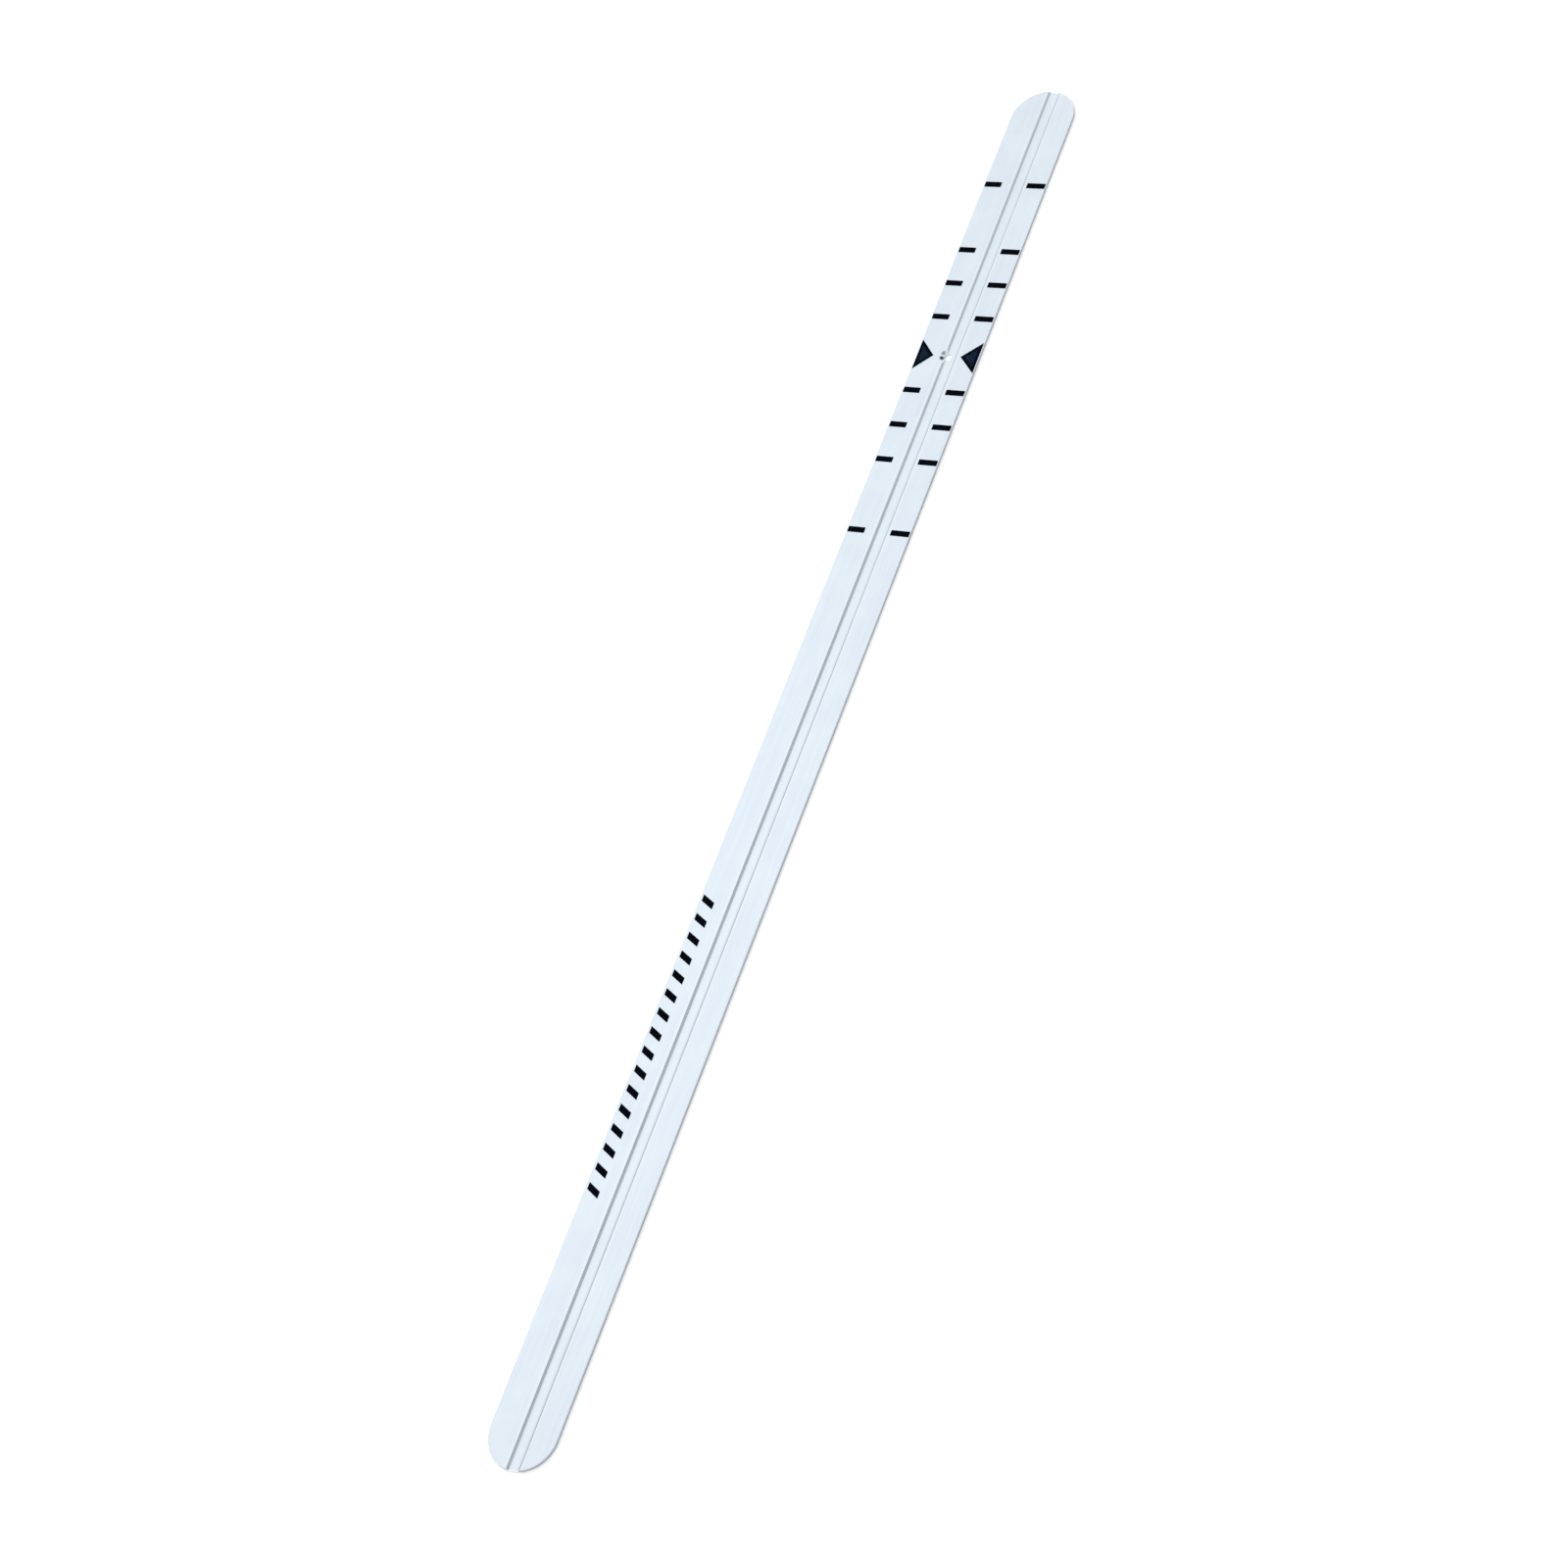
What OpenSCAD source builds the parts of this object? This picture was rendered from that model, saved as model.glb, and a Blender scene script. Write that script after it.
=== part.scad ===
// Alignment stick: a flat putting line rail with round ends, a shallow groove along its
// length, a countersunk hole that seats the ball, and black printed alignment marks.
// Frame: +X across, +Y along towards the marked end, +Z up. The origin is the middle of the
// underside's bounding box, so the rail lies on z = 0.

/* [Rail] */
// Overall length of the rail (mm)
rail_l = 914; // [700:1:1000]
// Width of the rail, which is also the diameter of its round ends (mm)
rail_w = 42.6; // [40:0.1:50]
// Thickness of the rail (mm)
rail_t = 2; // [1.6:0.1:4]
// Chamfer that breaks the rail's outer edges (mm)
edge_chamfer = 0.3; // [0.1:0.05:0.4]

/* [Groove] */
// Width of the groove between its walls at the top face, before its rims are eased (mm)
groove_w = 7; // [5:0.1:9]
// Depth of the groove (mm)
groove_d = 1.2; // [0.8:0.1:1.2]
// How far each groove wall leans outwards from floor to rim (mm)
groove_lean = 0.3; // [0.1:0.1:1]
// Width and depth of the chamfer that eases each groove rim (mm)
rim_chamfer = 0.5; // [0.1:0.1:0.6]
// How far the groove's middle lies to the right of the rail's middle (mm)
groove_x = 2; // [-3:0.1:3]

/* [Ball seat] */
// Diameter of the hole through the rail (mm)
ball_hole_d = 4.4; // [4:0.2:8]
// Diameter of the countersunk rim that the ball settles on (mm)
ball_rim_d = 10.4; // [8.4:0.1:12]
// Distance from the marked end to the middle of the ball seat and the pointers (mm)
ball_from_end = 201.2; // [180:0.1:240]

/* [Printed marks] */
// Thickness of the printed ink film (mm)
ink_t = 0.1; // [0.05:0.05:0.2]
// Distance from the rail's left edge to the ticks and the pointer beside it (mm)
left_margin = 0.8; // [0.4:0.1:2]
// Distance from the rail's right edge to the ticks and the pointer beside it (mm)
right_margin = 0.4; // [0.4:0.1:2]
// Length of a tick on the left flat (mm)
left_tick_l = 11.3; // [6:0.1:13]
// Length of a tick on the right flat (mm)
right_tick_l = 12.6; // [6:0.1:12.6]
// Width of a tick (mm)
tick_w = 3.8; // [2:0.1:5]
// Corner radius of a tick (mm)
tick_corner = 0.4; // [0.1:0.1:0.9]
// Distance from the marked end to the middle of the tick rows (mm)
ticks_from_end = 200; // [180:1:240]
// Distance from the middle of the tick rows to the first tick each way (mm)
first_tick = 27; // [20:1:30]
// Spacing of the ticks (mm)
tick_pitch = 25; // [22:1:25]
// Length along the rail of the left pointer triangle's base (mm)
left_pointer_base = 21.4; // [14:0.1:24]
// Reach of the left pointer triangle from its base to its tip (mm)
left_pointer_reach = 10.9; // [6:0.1:12]
// Length along the rail of the right pointer triangle's base (mm)
right_pointer_base = 22.2; // [14:0.1:24]
// Reach of the right pointer triangle from its base to its tip (mm)
right_pointer_reach = 12; // [6:0.1:12]

/* [Hatch band] */
// Number of slanted bars in the hatch band on the left flat
hatch_count = 16; // [4:1:18]
// Distance from the marked end to the start of the hatch band (mm)
hatch_from_end = 573; // [360:1:700]
// Length of the hatch band (mm)
hatch_l = 187; // [120:1:190]
// Height of the hatch bars across the rail (mm)
hatch_h = 8.4; // [5:0.1:11]
// Width of one hatch bar along the rail (mm)
hatch_bar_w = 4.2; // [2:0.1:5]
// How far each hatch bar leans along the rail (mm)
hatch_slant = 4.2; // [0:0.1:5]
// Distance from the rail's left edge to the hatch bars (mm)
hatch_margin = 1.8; // [1:0.1:4]

/* [Hidden] */
$fn = 96;
cut = 1;                                  // how far a cutter runs past the face that it cuts
end_y = rail_l / 2;                       // the marked end
end_centre_y = (rail_l - rail_w) / 2;     // middle of each round end
ball_y = end_y - ball_from_end;
ticks_y = end_y - ticks_from_end;
left_mark_x = left_margin - rail_w / 2;   // outer ends of the marks on the left flat
right_mark_x = rail_w / 2 - right_margin; // outer ends of the marks on the right flat
tick_steps = [4, 2, 1, 0];                // ticks on one side of the ball, in pitches past the first
hatch_start_y = end_y - hatch_from_end;
hatch_pitch = (hatch_l - hatch_bar_w - hatch_slant) / (hatch_count - 1);
hatch_x = hatch_margin - rail_w / 2;

// Tick rows from the marked end towards the far end, as distances from the rows' middle
tick_offsets = concat(
    [for (step = tick_steps) first_tick + step * tick_pitch],
    [for (i = [len(tick_steps) - 1 : -1 : 0]) -first_tick - tick_steps[i] * tick_pitch]
);

left_ticks = [for (i = [1 : len(tick_offsets)]) str("left_tick_", i)];
right_ticks = [for (i = [1 : len(tick_offsets)]) str("right_tick_", i)];
hatch_bars = [for (i = [1 : hatch_count]) str("hatch_bar_", i)];

// Half of the rail's cross-section, from its middle out to the chamfered right edge
module half_section() {
    polygon([
        [0, 0],
        [rail_w / 2 - edge_chamfer, 0],
        [rail_w / 2, edge_chamfer],
        [rail_w / 2, rail_t - edge_chamfer],
        [rail_w / 2 - edge_chamfer, rail_t],
        [0, rail_t]
    ]);
}

// Cross-section of the groove: leaning walls, and a 45 degree chamfer that runs on above
// the top face
module groove_section() {
    floor_half = groove_w / 2 - groove_lean;
    wall_half = floor_half + groove_lean * (groove_d - rim_chamfer) / groove_d;
    past_half = wall_half + rim_chamfer + cut;
    translate([groove_x, rail_t]) polygon([
        [-floor_half, -groove_d],
        [floor_half, -groove_d],
        [wall_half, -rim_chamfer],
        [past_half, cut],
        [-past_half, cut],
        [-wall_half, -rim_chamfer]
    ]);
}

// Lays a cross-section drawn in X and Z along the rail
module along_rail(length) {
    rotate([90, 0, 0]) linear_extrude(height = length, center = true) children();
}

// The plain bar: a straight stretch with a half-round plan at each end
module rail_blank() {
    along_rail(2 * end_centre_y) union() {
        half_section();
        mirror([1, 0]) half_section();
    }
    for (side = [-1, 1]) translate([0, side * end_centre_y, 0]) rotate_extrude() half_section();
}

// Cutter for the ball seat, midway across the rail: a hole right through, and a countersink as
// deep as the groove
module ball_seat() {
    sink_h = groove_d + cut;
    sink_d = ball_hole_d + (ball_rim_d - ball_hole_d) * sink_h / groove_d;
    translate([0, ball_y, -cut]) cylinder(d = ball_hole_d, h = rail_t + 2 * cut);
    translate([0, ball_y, rail_t - groove_d]) cylinder(d1 = ball_hole_d, d2 = sink_d, h = sink_h);
}

module rail() {
    color([0.89, 0.93, 0.965]) difference() {
        rail_blank();
        along_rail(rail_l + 2 * cut) groove_section();
        ball_seat();
    }
}

// Black ink film on the top face, printed with the shape of its children
module ink() {
    color([0.03, 0.03, 0.035]) translate([0, 0, rail_t]) linear_extrude(height = ink_t) children();
}

module rounded_bar(length, width, corner) {
    square([length - 2 * corner, width], center = true);
    square([length, width - 2 * corner], center = true);
    for (x = [-1, 1], y = [-1, 1])
        translate([x * (length / 2 - corner), y * (width / 2 - corner)]) circle(r = corner);
}

// One tick whose middle is at [x, y]
module tick(x, y, length) {
    ink() translate([x, y]) rounded_bar(length, tick_w, tick_corner);
}

// One triangle with its base at from_x, beside the rail's edge, and its tip at to_x
module pointer(from_x, to_x, base) {
    ink() polygon([[from_x, ball_y + base / 2], [from_x, ball_y - base / 2], [to_x, ball_y]]);
}

module left_tick(i) {
    tick(left_mark_x + left_tick_l / 2, ticks_y + tick_offsets[i], left_tick_l);
}

module right_tick(i) {
    tick(right_mark_x - right_tick_l / 2, ticks_y + tick_offsets[i], right_tick_l);
}

module left_pointer() {
    pointer(left_mark_x, left_mark_x + left_pointer_reach, left_pointer_base);
}

module right_pointer() {
    pointer(right_mark_x, right_mark_x - right_pointer_reach, right_pointer_base);
}

// One slanted bar of the hatch band, counted from the marked end
module hatch_bar(i) {
    near_y = hatch_start_y - (i - 1) * hatch_pitch;
    ink() polygon([
        [hatch_x, near_y],
        [hatch_x, near_y - hatch_bar_w],
        [hatch_x + hatch_h, near_y - hatch_bar_w - hatch_slant],
        [hatch_x + hatch_h, near_y - hatch_slant]
    ]);
}

rail();
left_pointer();
right_pointer();
for (i = [0 : len(tick_offsets) - 1]) {
    left_tick(i);
    right_tick(i);
}
for (i = [1 : hatch_count])
    hatch_bar(i);
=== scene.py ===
"""Alignment stick: a flat putting rail with a lengthwise groove, a ball seat and printed marks.

The printed marks keep their CAD meshes. The rail's CAD mesh is replaced by one with finely
stepped round ends and softly rounded edges, cut from the same dimensions.
All lengths are in metres, in the CAD frame: +X across, +Y towards the marked end, +Z up.
"""
import math

import bmesh
import bpy
from mathutils import Euler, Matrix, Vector


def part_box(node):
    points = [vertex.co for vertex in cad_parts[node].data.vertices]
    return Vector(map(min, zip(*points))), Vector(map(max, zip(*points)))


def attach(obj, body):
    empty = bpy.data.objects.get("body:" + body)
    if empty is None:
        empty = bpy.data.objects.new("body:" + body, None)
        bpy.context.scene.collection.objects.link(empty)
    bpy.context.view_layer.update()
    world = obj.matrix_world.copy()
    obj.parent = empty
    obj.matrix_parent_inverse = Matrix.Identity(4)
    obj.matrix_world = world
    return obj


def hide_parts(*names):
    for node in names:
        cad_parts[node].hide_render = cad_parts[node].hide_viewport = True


MM = 0.001

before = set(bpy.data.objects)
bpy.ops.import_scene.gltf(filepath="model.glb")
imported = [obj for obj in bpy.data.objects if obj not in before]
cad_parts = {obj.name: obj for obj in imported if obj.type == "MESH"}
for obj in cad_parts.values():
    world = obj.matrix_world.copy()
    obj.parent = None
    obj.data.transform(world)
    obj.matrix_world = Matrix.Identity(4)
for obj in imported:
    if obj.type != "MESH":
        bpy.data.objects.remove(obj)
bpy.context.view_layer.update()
rail_low, rail_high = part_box("rail")

# ---------------------------------------------------------------- dimensions
RAIL_WIDTH = rail_high.x - rail_low.x
RAIL_LENGTH = rail_high.y - rail_low.y
RAIL_TOP = rail_high.z
END_RADIUS = RAIL_WIDTH / 2
END_CENTRE_Y = RAIL_LENGTH / 2 - END_RADIUS

GROOVE_X = 2.0 * MM
GROOVE_WIDTH = 7.0 * MM
GROOVE_DEPTH = 1.2 * MM
GROOVE_LEAN = 0.3 * MM
FAR_RIM_X = GROOVE_X + GROOVE_WIDTH / 2

SEAT_Y = 255.8 * MM
SEAT_HOLE_RADIUS = 2.2 * MM
SEAT_RIM_RADIUS = 5.2 * MM

OUTER_EDGE_RADIUS = 0.45 * MM
RIM_RADIUS = 1.2 * MM
GROOVE_CORNER_RADIUS = 0.18 * MM
SEAT_EDGE_RADIUS = 0.15 * MM

END_STEPS = 144
SEAT_STEPS = 128
FILLET_STEPS = 5
CUT = 1.0 * MM  # how far a cutter reaches past what it cuts
WELD = 0.001 * MM
SHARP_ANGLE = math.radians(35)
BY_FACE_AREA = 100  # the modifier's own scale: large faces bend the normals the most


# ---------------------------------------------------------------- mesh helpers
def rounded_path(corners):
    """Points along a path through corners, each (x, y, radius), with its bends as arcs.

    The first and last corners only give the path its directions, and leave no point on it.
    """
    points = []
    for before, corner, after in zip(corners, corners[1:], corners[2:]):
        at = Vector(corner[:2])
        radius = corner[2]
        if radius == 0:
            points.append(at)
            continue
        back = (Vector(before[:2]) - at).normalized()
        ahead = (Vector(after[:2]) - at).normalized()
        half_angle = back.angle(ahead) / 2
        middle = at + (back + ahead).normalized() * (radius / math.sin(half_angle))
        start = at + back * (radius / math.tan(half_angle)) - middle
        end = at + ahead * (radius / math.tan(half_angle)) - middle
        sweep = start.angle_signed(end)
        for step in range(FILLET_STEPS + 1):
            turn = -sweep * step / FILLET_STEPS
            x = start.x * math.cos(turn) - start.y * math.sin(turn)
            y = start.x * math.sin(turn) + start.y * math.cos(turn)
            points.append(middle + Vector((x, y)))
    return points


def new_object(name, mesh_builder):
    """A linked mesh object whose mesh is made by mesh_builder(bm)."""
    mesh = bpy.data.meshes.new(name)
    bm = bmesh.new()
    mesh_builder(bm)
    bmesh.ops.recalc_face_normals(bm, faces=bm.faces)
    bm.to_mesh(mesh)
    bm.free()
    obj = bpy.data.objects.new(name, mesh)
    bpy.context.scene.collection.objects.link(obj)
    return obj


def bridge(bm, ring_a, ring_b):
    """Faces between two closed rings with the same number of vertices."""
    for i in range(len(ring_a)):
        j = (i + 1) % len(ring_a)
        bm.faces.new((ring_a[i], ring_a[j], ring_b[j], ring_b[i]))


def stadium_ring(bm, inset, z):
    """One ring of the rail's plan outline, moved in by inset, at height z."""
    ring = []
    for side in (1, -1):
        for step in range(END_STEPS + 1):
            angle = math.pi * step / END_STEPS + (0 if side > 0 else math.pi)
            x = (END_RADIUS - inset) * math.cos(angle)
            y = (END_RADIUS - inset) * math.sin(angle) + side * END_CENTRE_Y
            ring.append(bm.verts.new((x, y, z)))
    return ring


def build_blank(bm):
    """The rail before machining: round ends, and every outer edge softly rounded."""
    profile = rounded_path([
        (END_RADIUS / 2, 0, 0),
        (0, 0, OUTER_EDGE_RADIUS),
        (0, RAIL_TOP, OUTER_EDGE_RADIUS),
        (END_RADIUS / 2, RAIL_TOP, 0),
    ])
    rings = [stadium_ring(bm, point.x, point.y) for point in profile]
    for lower, upper in zip(rings, rings[1:]):
        bridge(bm, lower, upper)
    bm.faces.new(rings[0])
    bm.faces.new(rings[-1])


def build_groove_cutter(bm):
    """What the groove takes away, with its rims and floor corners rounded."""
    rim = GROOVE_WIDTH / 2
    floor = rim - GROOVE_LEAN
    wall_tilt = math.atan2(GROOVE_DEPTH, GROOVE_LEAN)
    flare = rim + RIM_RADIUS * math.tan(wall_tilt / 2)  # where a rim's arc meets the flat
    low = RAIL_TOP - GROOVE_DEPTH
    path = rounded_path([
        (-flare - CUT, RAIL_TOP, 0),
        (-rim, RAIL_TOP, RIM_RADIUS),
        (-floor, low, GROOVE_CORNER_RADIUS),
        (floor, low, GROOVE_CORNER_RADIUS),
        (rim, RAIL_TOP, RIM_RADIUS),
        (flare + CUT, RAIL_TOP, 0),
    ])
    outline = [Vector((path[0].x, RAIL_TOP + CUT)), *path, Vector((path[-1].x, RAIL_TOP + CUT))]
    ends = [
        [bm.verts.new((GROOVE_X + p.x, y, p.y)) for p in outline]
        for y in (-RAIL_LENGTH / 2 - CUT, RAIL_LENGTH / 2 + CUT)
    ]
    bridge(bm, *ends)
    bm.faces.new(ends[0])
    bm.faces.new(ends[1])


def build_seat_cutter(bm):
    """What the ball seat takes away: a hole, and a countersink with a soft rim."""
    low = RAIL_TOP - GROOVE_DEPTH
    path = rounded_path([
        (SEAT_HOLE_RADIUS + CUT, 0, 0),
        (SEAT_HOLE_RADIUS, 0, SEAT_EDGE_RADIUS),
        (SEAT_HOLE_RADIUS, low, 0),
        (SEAT_RIM_RADIUS, RAIL_TOP, SEAT_EDGE_RADIUS),
        (SEAT_RIM_RADIUS + CUT, RAIL_TOP, 0),
    ])
    outline = [Vector((path[0].x, -CUT)), *path, Vector((path[-1].x, RAIL_TOP + CUT))]
    angles = [2 * math.pi * step / SEAT_STEPS for step in range(SEAT_STEPS)]
    rings = []
    for point in outline:
        rings.append([
            bm.verts.new((point.x * math.cos(a), SEAT_Y + point.x * math.sin(a), point.y))
            for a in angles
        ])
    for lower, upper in zip(rings, rings[1:]):
        bridge(bm, lower, upper)
    bm.faces.new(rings[0])
    bm.faces.new(rings[-1])


def weld(mesh):
    """Joins the vertices that a cut has left less than WELD apart."""
    bm = bmesh.new()
    bm.from_mesh(mesh)
    bmesh.ops.remove_doubles(bm, verts=bm.verts, dist=WELD)
    bm.to_mesh(mesh)
    bm.free()


def cut_away(obj, cutters):
    """Applies a difference with each cutter to obj's mesh, then removes the cutters."""
    for cutter in cutters:
        boolean = obj.modifiers.new(cutter.name, "BOOLEAN")
        boolean.operation = "DIFFERENCE"
        boolean.solver = "EXACT"
        boolean.object = cutter
    bpy.context.view_layer.update()
    graph = bpy.context.evaluated_depsgraph_get()
    mesh = bpy.data.meshes.new_from_object(obj.evaluated_get(graph))
    weld(mesh)
    obj.modifiers.clear()
    obj.data = mesh
    for cutter in cutters:
        bpy.data.objects.remove(cutter)


def smooth_shade(obj, sharp_angle):
    """Smooth shading that keeps flats flat and leaves edges above sharp_angle sharp."""
    obj.data.polygons.foreach_set("use_smooth", [True] * len(obj.data.polygons))
    obj.data.set_sharp_from_angle(angle=sharp_angle)
    weighted = obj.modifiers.new("flat_normals", "WEIGHTED_NORMAL")
    weighted.keep_sharp = True
    weighted.weight = BY_FACE_AREA


# ---------------------------------------------------------------- node helpers
class Nodes:
    """Short calls that add nodes to one material's tree and link them."""

    def __init__(self, name):
        self.material = bpy.data.materials.new(name)
        self.material.use_nodes = True
        self.tree = self.material.node_tree
        self.shader = self.tree.nodes["Principled BSDF"]

    def link(self, source, target):
        """Feeds target from source, which is a number, a tuple or another node's output."""
        if isinstance(source, (int, float, tuple)):
            target.default_value = source
        else:
            self.tree.links.new(source, target)

    def position(self):
        """The point's place in the CAD frame, in metres."""
        return self.tree.nodes.new("ShaderNodeTexCoord").outputs["Object"]

    def normal(self):
        """The surface's direction at the point."""
        return self.tree.nodes.new("ShaderNodeTexCoord").outputs["Normal"]

    def split(self, vector):
        node = self.tree.nodes.new("ShaderNodeSeparateXYZ")
        self.link(vector, node.inputs[0])
        return node.outputs

    def join(self, x, y, z):
        node = self.tree.nodes.new("ShaderNodeCombineXYZ")
        for value, socket in zip((x, y, z), node.inputs):
            self.link(value, socket)
        return node.outputs[0]

    def math(self, operation, a, b=0.0, c=0.0):
        node = self.tree.nodes.new("ShaderNodeMath")
        node.operation = operation
        for value, socket in zip((a, b, c), node.inputs):
            self.link(value, socket)
        return node.outputs[0]

    def apart(self, a, b):
        """How far a is from b."""
        return self.math("ABSOLUTE", self.math("SUBTRACT", a, b))

    def length(self, vector):
        node = self.tree.nodes.new("ShaderNodeVectorMath")
        node.operation = "LENGTH"
        self.link(vector, node.inputs[0])
        return node.outputs["Value"]

    def stretched(self, vector, scale):
        node = self.tree.nodes.new("ShaderNodeVectorMath")
        node.operation = "MULTIPLY"
        self.link(vector, node.inputs[0])
        self.link(scale, node.inputs[1])
        return node.outputs[0]

    def noise(self, vector, scale, detail, roughness):
        node = self.tree.nodes.new("ShaderNodeTexNoise")
        self.link(vector, node.inputs["Vector"])
        self.link(scale, node.inputs["Scale"])
        self.link(detail, node.inputs["Detail"])
        self.link(roughness, node.inputs["Roughness"])
        return node.outputs["Fac"]

    def ramp(self, value, low, high, to_low=0.0, to_high=1.0):
        """value from low..high to to_low..to_high, smoothly and clamped."""
        node = self.tree.nodes.new("ShaderNodeMapRange")
        node.interpolation_type = "SMOOTHSTEP"
        for number, socket in zip((value, low, high, to_low, to_high), node.inputs):
            self.link(number, socket)
        return node.outputs[0]

    def mix(self, factor, a, b):
        """Colour a where factor is 0, colour b where it is 1."""
        node = self.tree.nodes.new("ShaderNodeMix")
        node.data_type = "RGBA"
        self.link(factor, node.inputs["Factor"])
        # A, B and Result have one socket for each data type: 6, 7 and 2 are those for colours.
        self.link(a, node.inputs[6])
        self.link(b, node.inputs[7])
        return node.outputs[2]

    def bump(self, height, distance, strength, under=None):
        node = self.tree.nodes.new("ShaderNodeBump")
        self.link(height, node.inputs["Height"])
        node.inputs["Distance"].default_value = distance
        node.inputs["Strength"].default_value = strength
        if under is not None:
            self.link(under, node.inputs["Normal"])
        return node.outputs[0]


# ---------------------------------------------------------------- materials
# Colours are linear. Each ..._SPAN says where an effect starts and where it is full, each
# ..._NOISE is a noise's scale, detail and roughness, and each ..._BUMP is a bump's distance
# and strength. Level is how level the surface lies, from 1 on a flat to 0 on an upright wall.
RAIL_COLOUR = (0.546, 0.600, 0.652, 1)
RAIL_COLOUR_DEEP = (0.528, 0.582, 0.634, 1)
RAIL_COLOUR_DARK_GRAIN = (0.42, 0.48, 0.54, 1)
# paler tone: random mottling, a painted highlight beside the groove, and the groove floor
RAIL_COLOUR_PALE = (0.62, 0.67, 0.71, 1)
# painted highlight and edge wear: the colour of the rounded outer edges
RAIL_COLOUR_EDGE_WEAR_AND_HIGHLIGHT = (0.88, 0.91, 0.93, 1)
# painted shade: the groove's rims, paler towards the marked end, darker at the far rim
RAIL_COLOUR_RIM_SHADE = (0.30, 0.335, 0.365, 1)
RAIL_COLOUR_RIM_SHADE_PALE = (0.46, 0.51, 0.555, 1)
RAIL_COLOUR_FAR_RIM_SHADE = (0.19, 0.21, 0.23, 1)
RAIL_COLOUR_WALL = (0.58, 0.62, 0.66, 1)
# painted shade: the darker colour of the rail's outer sides
RAIL_COLOUR_SIDE_SHADE = (0.38, 0.42, 0.46, 1)
RAIL_METALLIC = 0.55
RAIL_ROUGHNESS = 0.34

BRUSHING_STRETCH = (2600.0, 22.0, 2600.0)
BRUSHING_NOISE = (1.0, 3.0, 0.6)
BRUSHING_SPAN = (0.45, 0.75)
BRUSHING_STRENGTH = 0.3
BRUSHING_ROUGHENS = 0.10
BRUSHING_BUMP = (0.02 * MM, 0.5)
STREAK_STRETCH = (420.0, 5.0, 420.0)
STREAK_NOISE = (1.0, 2.0, 0.5)
STREAK_SPAN = (0.3, 0.7)
MOTTLE_NOISE = (38.0, 4.0, 0.55)
MOTTLE_SPAN = (0.35, 0.75)
MOTTLE_STRENGTH = 0.35
MOTTLE_ROUGHENS = 0.08
GRAIN_NOISE = (5200.0, 2.0, 0.5)
GRAIN_BUMP = (0.004 * MM, 0.3)

# Distances past a rim of the groove are negative inside the groove.
# painted highlight: a paler band beside each rim, and a paler groove floor
BAND_START_SPAN = (0.4 * MM, 1.0 * MM)
BAND_END_SPAN = (2.4 * MM, 1.4 * MM)
BAND_STRENGTH = 0.5
GROOVE_FLOOR_SPAN = (-0.4 * MM, -0.9 * MM)
GROOVE_FLOOR_STRENGTH = 0.2
RIM_LEVEL_SPAN = (0.999, 0.93)
# painted shade along the rims: where it fades, and its place and spread at the far rim
RIM_SHADE_FADE_ALONG_SPAN = (60 * MM, 330 * MM)
FAR_RIM_SHADE_X = FAR_RIM_X - 0.2 * MM
FAR_RIM_SHADE_ALONG_SPAN = (320 * MM, -100 * MM)
FAR_RIM_SHADE_LEAST = 0.3
FAR_RIM_SHADE_BESIDE_SPAN = (2.0 * MM, 0.5 * MM)
FAR_RIM_SHADE_BESIDE_STRENGTH = 0.29
FAR_RIM_SPAN = (1.7 * MM, 1.3 * MM)

WALL_LEVEL_SPAN = (0.85, 0.6)
SIDE_SPAN = (END_RADIUS - 1.0 * MM, END_RADIUS - 0.5 * MM)
# the outer edges' band, worn and with a painted highlight
EDGE_WEAR_AND_HIGHLIGHT_SPAN = (END_RADIUS - 0.4 * MM, END_RADIUS + 0.1 * MM)
EDGE_WEAR_AND_HIGHLIGHT_STRENGTH = 0.8
EDGE_WEAR_AND_HIGHLIGHT_LEVEL_SPAN = (0.2, 0.5)
EDGE_WEAR_AND_HIGHLIGHT_NOISE = (900.0, 3.0, 0.5)
EDGE_WEAR_AND_HIGHLIGHT_RAGGED = 0.25 * MM
WEAR_SMOOTHS = 0.10

# painted highlight: the countersink is painted paler than the flats
SEAT_HIGHLIGHT_COLOUR = (0.60, 0.66, 0.71, 1)
SEAT_SPAN = (SEAT_RIM_RADIUS + 0.15 * MM, SEAT_RIM_RADIUS)
SEAT_LEVEL_SPAN = (0.995, 0.97)
# painted shade on the left side of the seat
SEAT_SHADE_COLOUR = (0.002, 0.014, 0.045, 1)
SEAT_SHADE_SPAN = (3.2 * MM, 1.7 * MM)
SEAT_SHADE_NOISE = (1100.0, 3.0, 0.5)
SEAT_SHADE_RAGGED = 2.2 * MM
# Each patch of painted shade: its place across and along the rail from the seat's middle, and its
# strength.
SEAT_SHADES = ((-3.6 * MM, -1.4 * MM, 1.0), (-3.6 * MM, 2.3 * MM, 0.65))

INK_COLOUR = (0.0008, 0.0014, 0.003, 1)
INK_COLOUR_THIN = (0.002, 0.0035, 0.007, 1)
INK_COLOUR_POINTER = (0.0068, 0.0145, 0.031, 1)
INK_COLOUR_PINHOLE = (0.10, 0.12, 0.14, 1)
INK_SPECULAR = 0.006
INK_ROUGHNESS = 0.3
INK_PATCH_NOISE = (700.0, 4.0, 0.6)
INK_PATCH_SPAN = (0.45, 0.8)
INK_PATCH_ROUGHENS = 0.2
INK_GRAIN_NOISE = (6500.0, 3.0, 0.6)
INK_GRAIN_BUMP = (0.006 * MM, 0.5)
PINHOLE_NOISE = (3200.0, 2.0, 0.5)
PINHOLE_SPAN = (0.70, 0.78)
PINHOLE_STRENGTH = 0.5
POINTER_EDGE_SPAN = (1.1 * MM, 2.86 * MM)
POINTER_EDGE_NOISE = (420.0, 4.0, 0.6)
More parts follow.
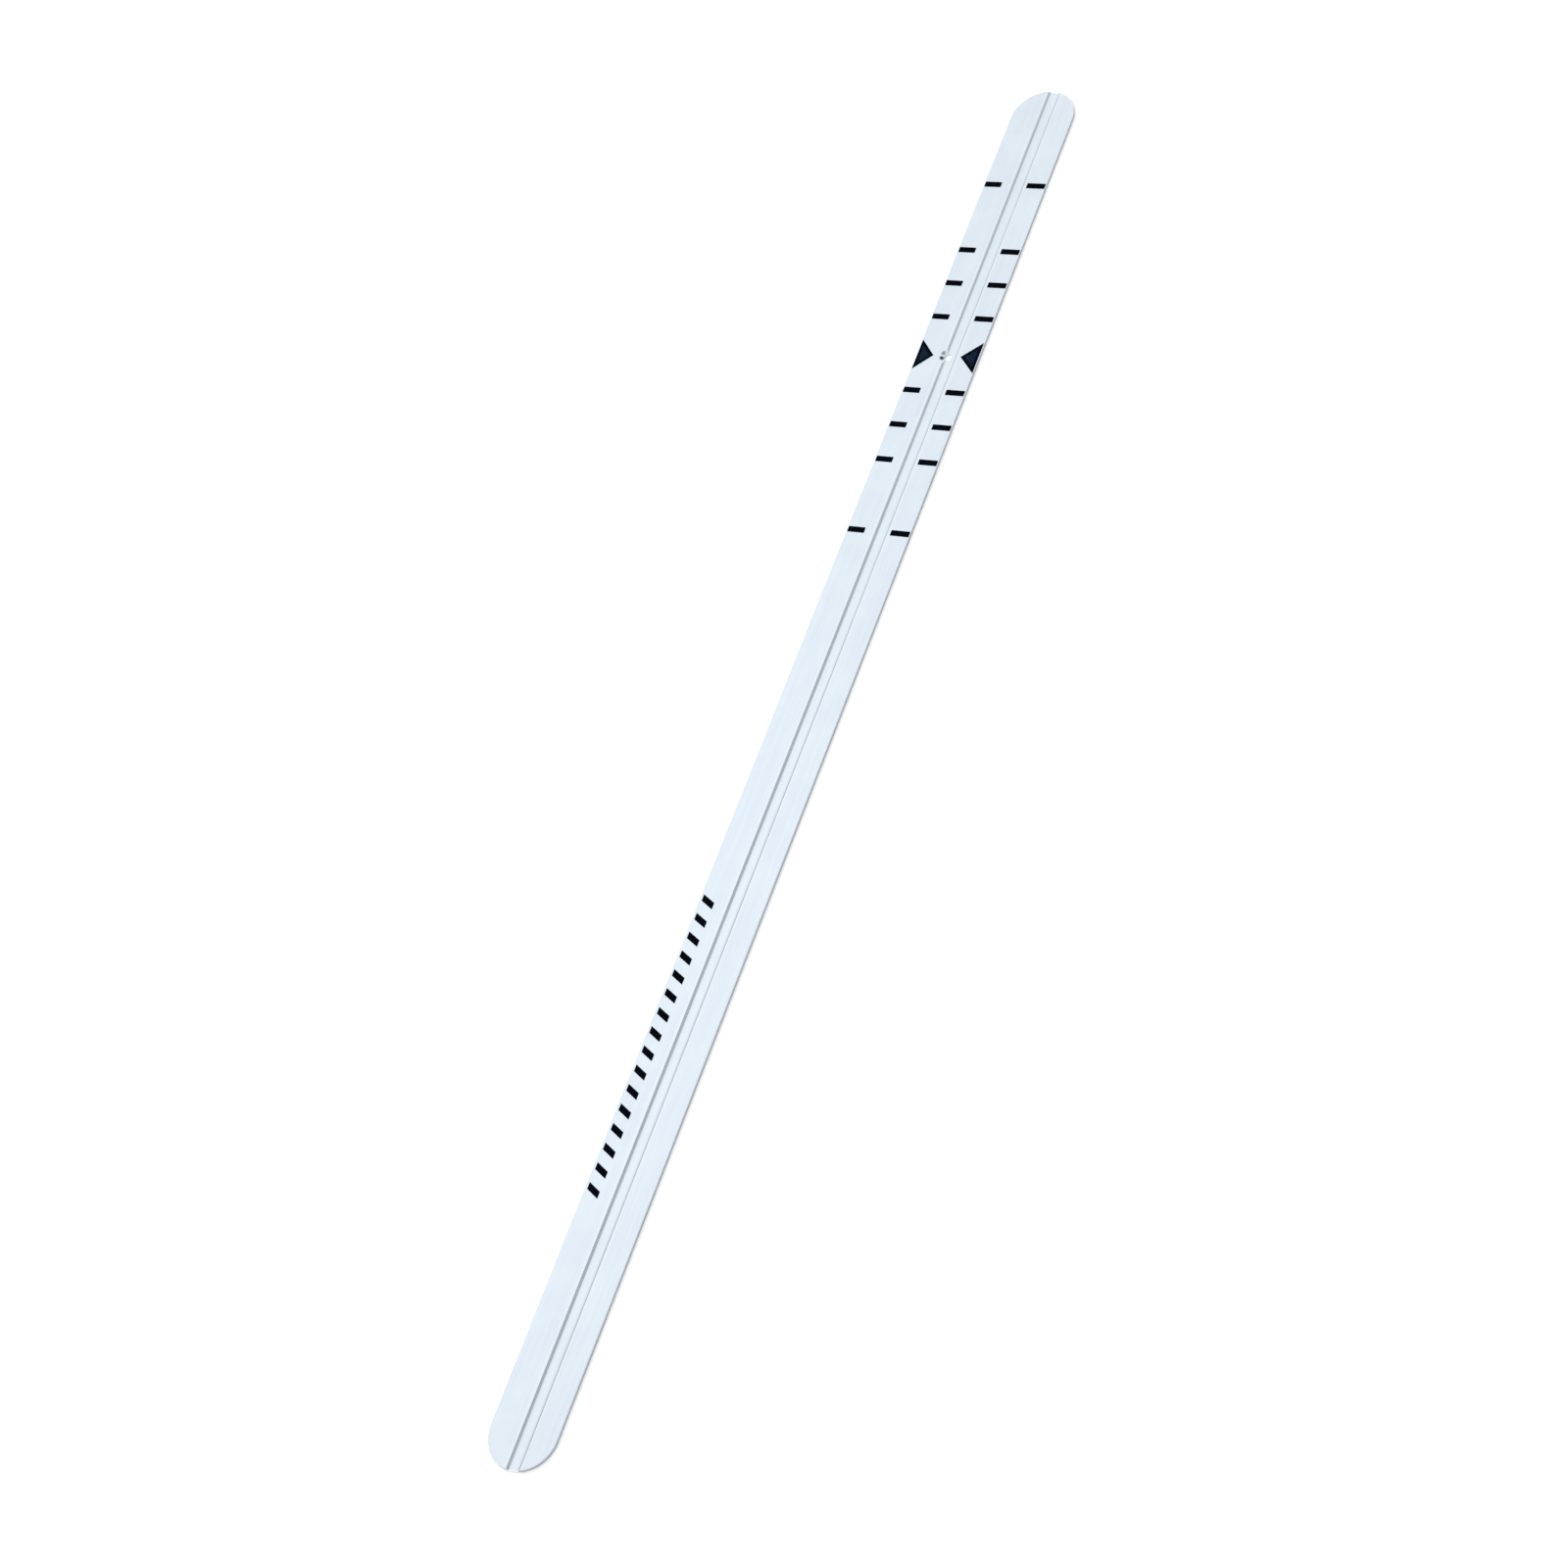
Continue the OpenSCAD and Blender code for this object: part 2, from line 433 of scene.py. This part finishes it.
POINTER_EDGE_RAGGED = 1.2 * MM

FLOOR_COLOUR = (0.96, 0.96, 0.96, 1)
FLOOR_ROUGHNESS = 0.9
FLOOR_SPECULAR = 0.1


def flat_tone(n, brushing, streaks, mottle):
    """Colour of the flats: two close tones in long streaks, dark grain and paler mottling."""
    tone = n.mix(n.ramp(streaks, *STREAK_SPAN), RAIL_COLOUR_DEEP, RAIL_COLOUR)
    dark_grain = n.ramp(brushing, *BRUSHING_SPAN, 0.0, BRUSHING_STRENGTH)
    tone = n.mix(dark_grain, tone, RAIL_COLOUR_DARK_GRAIN)
    return n.mix(n.ramp(mottle, *MOTTLE_SPAN, 0.0, MOTTLE_STRENGTH), tone, RAIL_COLOUR_PALE)


def add_pale_bands(n, tone, past_rim):
    """A paler band along each side of the groove, a painted highlight, and a paler groove floor."""
    # painted highlight beside each rim
    band_start = n.ramp(past_rim, *BAND_START_SPAN)
    band_end = n.ramp(past_rim, *BAND_END_SPAN, 0.0, BAND_STRENGTH)
    tone = n.mix(n.math("MULTIPLY", band_start, band_end), tone, RAIL_COLOUR_PALE)
    on_floor = n.ramp(past_rim, *GROOVE_FLOOR_SPAN, 0.0, GROOVE_FLOOR_STRENGTH)
    return n.mix(on_floor, tone, RAIL_COLOUR_PALE)


def add_rim_shade(n, tone, x, y, level):
    """Painted shade along the groove's rims, which grows paler towards the marked end.

    The far rim, the one towards +X, has painted shade on it and beside it.
    """
    # painted shade on and beside the far rim, fading towards the marked end
    from_far_rim_shade = n.apart(x, FAR_RIM_SHADE_X)
    far_rim_shade = n.ramp(y, *FAR_RIM_SHADE_ALONG_SPAN, FAR_RIM_SHADE_LEAST, 1.0)
    shade_beside_rim = n.ramp(from_far_rim_shade, *FAR_RIM_SHADE_BESIDE_SPAN, 0.0, FAR_RIM_SHADE_BESIDE_STRENGTH)
    tone = n.mix(n.math("MULTIPLY", far_rim_shade, shade_beside_rim), tone, RAIL_COLOUR_RIM_SHADE)

    # painted shade on the rims, paler towards the marked end
    rim_shade_fade = n.ramp(y, *RIM_SHADE_FADE_ALONG_SPAN)
    near_rim_tone = n.mix(rim_shade_fade, RAIL_COLOUR_RIM_SHADE, RAIL_COLOUR_RIM_SHADE_PALE)
    far_rim_tone = n.mix(far_rim_shade, RAIL_COLOUR_RIM_SHADE, RAIL_COLOUR_FAR_RIM_SHADE)
    rim_tone = n.mix(n.ramp(from_far_rim_shade, *FAR_RIM_SPAN), near_rim_tone, far_rim_tone)
    return n.mix(n.ramp(level, *RIM_LEVEL_SPAN), tone, rim_tone)


def add_walls(n, tone, level, from_spine, edge_wear_and_highlight):
    """Groove walls, outer sides in painted shade, outer edges worn and with a painted highlight."""
    # painted shade on the outer sides
    wall_tone = n.mix(n.ramp(from_spine, *SIDE_SPAN), RAIL_COLOUR_WALL, RAIL_COLOUR_SIDE_SHADE)
    tone = n.mix(n.ramp(level, *WALL_LEVEL_SPAN), tone, wall_tone)
    # painted highlight, on top of edge wear, on the rounded outer edges
    worn_and_highlit = n.math("MULTIPLY", edge_wear_and_highlight, n.ramp(level, *EDGE_WEAR_AND_HIGHLIGHT_LEVEL_SPAN))
    return n.mix(worn_and_highlit, tone, RAIL_COLOUR_EDGE_WEAR_AND_HIGHLIGHT)


def add_seat(n, tone, place, x, y, level):
    """The ball seat's countersink, painted paler as a highlight, with ragged painted shade on its
    left.
    """
    ragged = n.math("MULTIPLY", n.noise(place, *SEAT_SHADE_NOISE), SEAT_SHADE_RAGGED)
    seat_highlight_and_shade = SEAT_HIGHLIGHT_COLOUR
    # painted shade patches on the seat's left side
    for shade_x, shade_y, strength in SEAT_SHADES:
        across = n.math("SUBTRACT", x, shade_x)
        along = n.math("SUBTRACT", y, SEAT_Y + shade_y)
        from_shade = n.math("ADD", n.length(n.join(across, along, 0.0)), ragged)
        seat_highlight_and_shade = n.mix(n.ramp(from_shade, *SEAT_SHADE_SPAN, 0.0, strength), seat_highlight_and_shade, SEAT_SHADE_COLOUR)
    from_seat = n.length(n.join(x, n.math("SUBTRACT", y, SEAT_Y), 0.0))
    in_seat = n.math("MULTIPLY", n.ramp(from_seat, *SEAT_SPAN), n.ramp(level, *SEAT_LEVEL_SPAN))
    return n.mix(in_seat, tone, seat_highlight_and_shade)


def rail_material():
    """Satin anodised aluminium: lengthwise brushing, mottled sheen, worn edges with a painted
    highlight.
    """
    n = Nodes("anodised_rail")
    place = n.position()
    x, y, _ = n.split(place)
    level = n.math("ABSOLUTE", n.split(n.normal())[2])
    past_rim = n.math("SUBTRACT", n.apart(x, GROOVE_X), GROOVE_WIDTH / 2)

    brushing = n.noise(n.stretched(place, BRUSHING_STRETCH), *BRUSHING_NOISE)
    streaks = n.noise(n.stretched(place, STREAK_STRETCH), *STREAK_NOISE)
    mottle = n.noise(place, *MOTTLE_NOISE)
    grain = n.noise(place, *GRAIN_NOISE)

    # The spine joins the middles of the round ends, and the outline is END_RADIUS from it.
    past_middle = n.math("MAXIMUM", n.math("SUBTRACT", n.math("ABSOLUTE", y), END_CENTRE_Y), 0.0)
    from_spine = n.length(n.join(x, past_middle, 0.0))
    # the outer edges' band, for their wear and their painted highlight
    ragged = n.math("MULTIPLY_ADD", n.noise(place, *EDGE_WEAR_AND_HIGHLIGHT_NOISE), EDGE_WEAR_AND_HIGHLIGHT_RAGGED, from_spine)
    edge_wear_and_highlight = n.ramp(ragged, *EDGE_WEAR_AND_HIGHLIGHT_SPAN, 0.0, EDGE_WEAR_AND_HIGHLIGHT_STRENGTH)

    tone = flat_tone(n, brushing, streaks, mottle)
    tone = add_pale_bands(n, tone, past_rim)
    tone = add_rim_shade(n, tone, x, y, level)
    tone = add_walls(n, tone, level, from_spine, edge_wear_and_highlight)
    tone = add_seat(n, tone, place, x, y, level)
    n.link(tone, n.shader.inputs["Base Color"])

    roughness = n.math("MULTIPLY_ADD", brushing, BRUSHING_ROUGHENS, RAIL_ROUGHNESS)
    roughness = n.math("MULTIPLY_ADD", mottle, MOTTLE_ROUGHENS, roughness)
    roughness = n.math("SUBTRACT", roughness, n.math("MULTIPLY", edge_wear_and_highlight, WEAR_SMOOTHS))
    n.link(roughness, n.shader.inputs["Roughness"])
    n.shader.inputs["Metallic"].default_value = RAIL_METALLIC

    brushed = n.bump(brushing, *BRUSHING_BUMP)
    n.link(n.bump(grain, *GRAIN_BUMP, brushed), n.shader.inputs["Normal"])
    return n.material


def inside_pointer(n, place, low, high, tip_x):
    """1 in the middle of a pointer triangle, falling to 0 towards its edges."""
    base_x = low.x if tip_x > low.x else high.x
    middle_y = (low.y + high.y) / 2
    half_base = (high.y - low.y) / 2
    reach = abs(tip_x - base_x)
    x, y, _ = n.split(place)
    from_base = n.apart(x, base_x)
    half_height = n.math("SUBTRACT", half_base, n.math("MULTIPLY", from_base, half_base / reach))
    below_slope = n.math("SUBTRACT", half_height, n.apart(y, middle_y))
    from_slope = n.math("MULTIPLY", below_slope, reach / math.hypot(reach, half_base))
    from_edge = n.math("MINIMUM", from_base, from_slope)
    patches = n.noise(place, *POINTER_EDGE_NOISE)
    ragged = n.math("MULTIPLY_ADD", patches, 2 * POINTER_EDGE_RAGGED, -POINTER_EDGE_RAGGED)
    return n.ramp(n.math("ADD", from_edge, ragged), *POINTER_EDGE_SPAN)


def ink_material(name, pointer=None):
    """Matte black screen-printed ink: grainy, with slightly thin patches and pinholes.

    pointer is a pointer's low corner, high corner and the x of its tip. The ink lies thinner,
    and so a little bluer, in its middle.
    """
    n = Nodes(name)
    place = n.position()
    patches = n.noise(place, *INK_PATCH_NOISE)
    tone = n.mix(n.ramp(patches, *INK_PATCH_SPAN), INK_COLOUR, INK_COLOUR_THIN)
    if pointer:
        tone = n.mix(inside_pointer(n, place, *pointer), tone, INK_COLOUR_POINTER)
    pinholes = n.ramp(n.noise(place, *PINHOLE_NOISE), *PINHOLE_SPAN, 0.0, PINHOLE_STRENGTH)
    n.link(n.mix(pinholes, tone, INK_COLOUR_PINHOLE), n.shader.inputs["Base Color"])
    roughness = n.math("MULTIPLY_ADD", patches, INK_PATCH_ROUGHENS, INK_ROUGHNESS)
    n.link(roughness, n.shader.inputs["Roughness"])
    n.shader.inputs["Specular IOR Level"].default_value = INK_SPECULAR
    grain = n.noise(place, *INK_GRAIN_NOISE)
    n.link(n.bump(grain, *INK_GRAIN_BUMP), n.shader.inputs["Normal"])
    return n.material


def floor_material():
    """Plain matte white."""
    n = Nodes("studio_floor")
    n.shader.inputs["Base Color"].default_value = FLOOR_COLOUR
    n.shader.inputs["Roughness"].default_value = FLOOR_ROUGHNESS
    n.shader.inputs["Specular IOR Level"].default_value = FLOOR_SPECULAR
    return n.material


# ---------------------------------------------------------------- the object
def make_rail(material):
    """The machined rail, which stands for the CAD rail."""
    rail = new_object("machined_rail", build_blank)
    groove = new_object("groove_cutter", build_groove_cutter)
    seat = new_object("seat_cutter", build_seat_cutter)
    cut_away(rail, [groove, seat])
    rail.data.materials.clear()
    rail.data.materials.append(material)
    smooth_shade(rail, SHARP_ANGLE)
    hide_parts("rail")
    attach(rail, "root")


def paint_marks():
    """Gives every CAD node but the rail its ink, because each of them is a printed mark."""
    left_low, left_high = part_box("left_pointer")
    right_low, right_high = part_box("right_pointer")
    pointer_inks = {
        "left_pointer": ink_material("left_pointer_ink", (left_low, left_high, left_high.x)),
        "right_pointer": ink_material("right_pointer_ink", (right_low, right_high, right_low.x)),
    }
    plain_ink = ink_material("printed_ink")
    for name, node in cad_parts.items():
        if name == "rail":
            continue
        node.data.materials.clear()
        node.data.materials.append(pointer_inks.get(name, plain_ink))


# ---------------------------------------------------------------- the studio
CAMERA_AT = Vector((0.9808, -0.7583, 1.5264))
CAMERA_TURN = Euler(map(math.radians, (31.842, 22.892, 21.667)))
CAMERA_LENS = 78.66
CAMERA_SENSOR = 36
FLOOR_HALF_SIZE = 6

KEY_AT = Vector((-2.6, 1.0, 2.4))
KEY_SIZE = 1.6
KEY_POWER = 9
SKY_COLOUR = (0.98, 0.99, 1.0, 1)
SKY_BRIGHT_SIDE = Vector((-0.52, 0.38, 0.76)).normalized()
SKY_LOW = 0.6
SKY_HIGH = 1.46
SKY_SPAN = (-0.3, 0.95)  # cosines of the angle from the bright side, for SKY_LOW and SKY_HIGH


def make_camera():
    data = bpy.data.cameras.new("camera")
    data.lens = CAMERA_LENS
    data.sensor_width = CAMERA_SENSOR
    camera = bpy.data.objects.new("camera", data)
    camera.location = CAMERA_AT
    camera.rotation_euler = CAMERA_TURN
    bpy.context.scene.collection.objects.link(camera)
    bpy.context.scene.camera = camera


def make_floor(material):
    def square(bm):
        bmesh.ops.create_grid(bm, x_segments=1, y_segments=1, size=FLOOR_HALF_SIZE)

    floor = new_object("floor", square)
    floor.data.materials.append(material)


def make_key_light():
    """A soft square light on the upper left, aimed at the rail's middle."""
    data = bpy.data.lights.new("key", "AREA")
    data.shape = "RECTANGLE"
    data.size = KEY_SIZE
    data.size_y = KEY_SIZE
    data.energy = KEY_POWER
    light = bpy.data.objects.new("key", data)
    light.location = KEY_AT
    light.rotation_euler = (-KEY_AT).to_track_quat("-Z", "Y").to_euler()
    bpy.context.scene.collection.objects.link(light)


def make_world():
    """A wide soft light that is brightest from the upper left and fades towards the lower right."""
    world = bpy.data.worlds.new("studio")
    world.use_nodes = True
    tree = world.node_tree
    direction = tree.nodes.new("ShaderNodeTexCoord").outputs["Generated"]
    towards = tree.nodes.new("ShaderNodeVectorMath")
    towards.operation = "DOT_PRODUCT"
    towards.inputs[1].default_value = SKY_BRIGHT_SIDE
    fade = tree.nodes.new("ShaderNodeMapRange")
    fade.interpolation_type = "SMOOTHSTEP"
    for socket, value in zip(list(fade.inputs)[1:5], (*SKY_SPAN, SKY_LOW, SKY_HIGH)):
        socket.default_value = value
    tree.links.new(direction, towards.inputs[0])
    tree.links.new(towards.outputs["Value"], fade.inputs[0])
    background = tree.nodes["Background"]
    background.inputs["Color"].default_value = SKY_COLOUR
    tree.links.new(fade.outputs[0], background.inputs["Strength"])
    bpy.context.scene.world = world
    bpy.context.scene.view_settings.view_transform = "Standard"


make_camera()
make_rail(rail_material())
paint_marks()
make_floor(floor_material())
make_key_light()
make_world()
